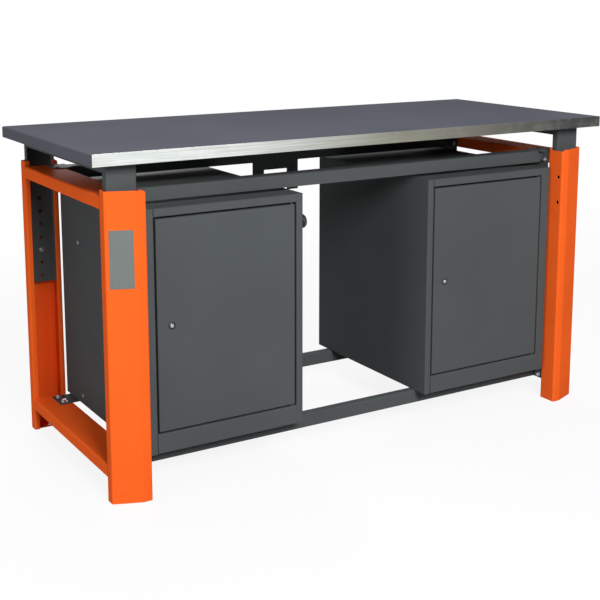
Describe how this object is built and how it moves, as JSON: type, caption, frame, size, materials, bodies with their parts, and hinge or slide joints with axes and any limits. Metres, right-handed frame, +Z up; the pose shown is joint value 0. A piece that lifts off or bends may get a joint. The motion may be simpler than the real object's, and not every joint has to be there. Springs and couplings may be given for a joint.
{
  "type": "workbench with cabinet doors",
  "caption": "Height-adjustable steel workbench with folded legs, a sheet-covered worktop, and a lockable door cabinet under each end.",
  "frame": {"origin": "on the floor, under the middle of the worktop", "axes": "+X along the front to the right, +Y to the rear, +Z up"},
  "size_m": [1.6, 0.67, 0.87],
  "materials": {
    "orange_paint": "satin orange powder coat",
    "grey_paint": "fine matt dark grey powder coat",
    "top_steel": "satin slate-grey coated sheet",
    "bare_metal": "bare metal, lightly brushed",
    "dark_nickel": "dark nickel plating",
    "zinc": "bright zinc plating",
    "plain_label": "plain grey plate",
    "black_plastic": "moulded black",
    "board": "pressed board with a dark sealed face"
  },
  "bodies": {
    "frame": {"leg_front_left": "orange_paint", "foot_plate_front_left": "orange_paint", "leg_front_right": "orange_paint", "foot_plate_front_right": "orange_paint", "leg_rear_left": "orange_paint", "foot_plate_rear_left": "orange_paint", "leg_rear_right": "orange_paint", "foot_plate_rear_right": "orange_paint", "top_rail_left": "orange_paint", "bottom_rail_left": "orange_paint", "left_cabinet_left_side": "grey_paint", "left_cabinet_right_side": "grey_paint", "left_cabinet_back": "grey_paint", "left_cabinet_floor": "grey_paint", "left_cabinet_lid": "grey_paint", "left_cabinet_head_rail": "grey_paint", "left_cabinet_plinth": "grey_paint", "left_cabinet_shelf": "grey_paint", "left_cabinet_shelf_angle_left": "grey_paint", "left_cabinet_shelf_angle_right": "grey_paint", "top_rail_right": "orange_paint", "bottom_rail_right": "orange_paint", "right_cabinet_left_side": "grey_paint", "right_cabinet_right_side": "grey_paint", "right_cabinet_back": "grey_paint", "right_cabinet_floor": "grey_paint", "right_cabinet_lid": "grey_paint", "right_cabinet_head_rail": "grey_paint", "right_cabinet_plinth": "grey_paint", "right_cabinet_shelf": "grey_paint", "right_cabinet_shelf_angle_left": "grey_paint", "right_cabinet_shelf_angle_right": "grey_paint", "upper_beam_front": "grey_paint", "lower_beam_front": "grey_paint", "upper_beam_rear": "grey_paint", "lower_beam_rear": "grey_paint", "rear_centre_bracket": "grey_paint", "label_plate": "plain_label", "side_knob": "black_plastic"},
    "worktop": {"upright_front_left": "grey_paint", "upright_front_right": "grey_paint", "upright_rear_left": "grey_paint", "upright_rear_right": "grey_paint", "bearer_left": "grey_paint", "bearer_right": "grey_paint", "worktop_board": "board", "worktop_cover": "top_steel", "worktop_front_strip": "bare_metal"},
    "left_door": {"left_door_panel": "grey_paint", "left_door_stiffener": "grey_paint", "left_lock_barrel": "dark_nickel", "left_hinge_pin_upper": "grey_paint", "left_hinge_pin_lower": "grey_paint"},
    "right_door": {"right_door_panel": "grey_paint", "right_door_stiffener": "grey_paint", "right_lock_barrel": "dark_nickel", "right_hinge_pin_upper": "grey_paint", "right_hinge_pin_lower": "grey_paint"},
    "left_lock": {"left_lock_cam": "zinc"},
    "right_lock": {"right_lock_cam": "zinc"}
  },
  "joints": [
    {"name": "worktop_height", "type": "slide", "parent": "frame", "child": "worktop", "axis": [0, 0, 1], "range_m": [0, 0.185]},
    {"name": "left_door_hinge", "type": "hinge", "parent": "frame", "child": "left_door", "pos_m": [-0.2375, -0.276, 0.42205], "axis": [0, 0, 1], "range_deg": [0, 115]},
    {"name": "left_lock_turn", "type": "hinge", "parent": "left_door", "child": "left_lock", "pos_m": [-0.5845, -0.281, 0.42205], "axis": [0, 1, 0], "range_deg": [0, 90]},
    {"name": "right_door_hinge", "type": "hinge", "parent": "frame", "child": "right_door", "pos_m": [0.6155, -0.276, 0.42205], "axis": [0, 0, 1], "range_deg": [0, 115]},
    {"name": "right_lock_turn", "type": "hinge", "parent": "right_door", "child": "right_lock", "pos_m": [0.2685, -0.281, 0.42205], "axis": [0, 1, 0], "range_deg": [0, 90]}
  ]
}
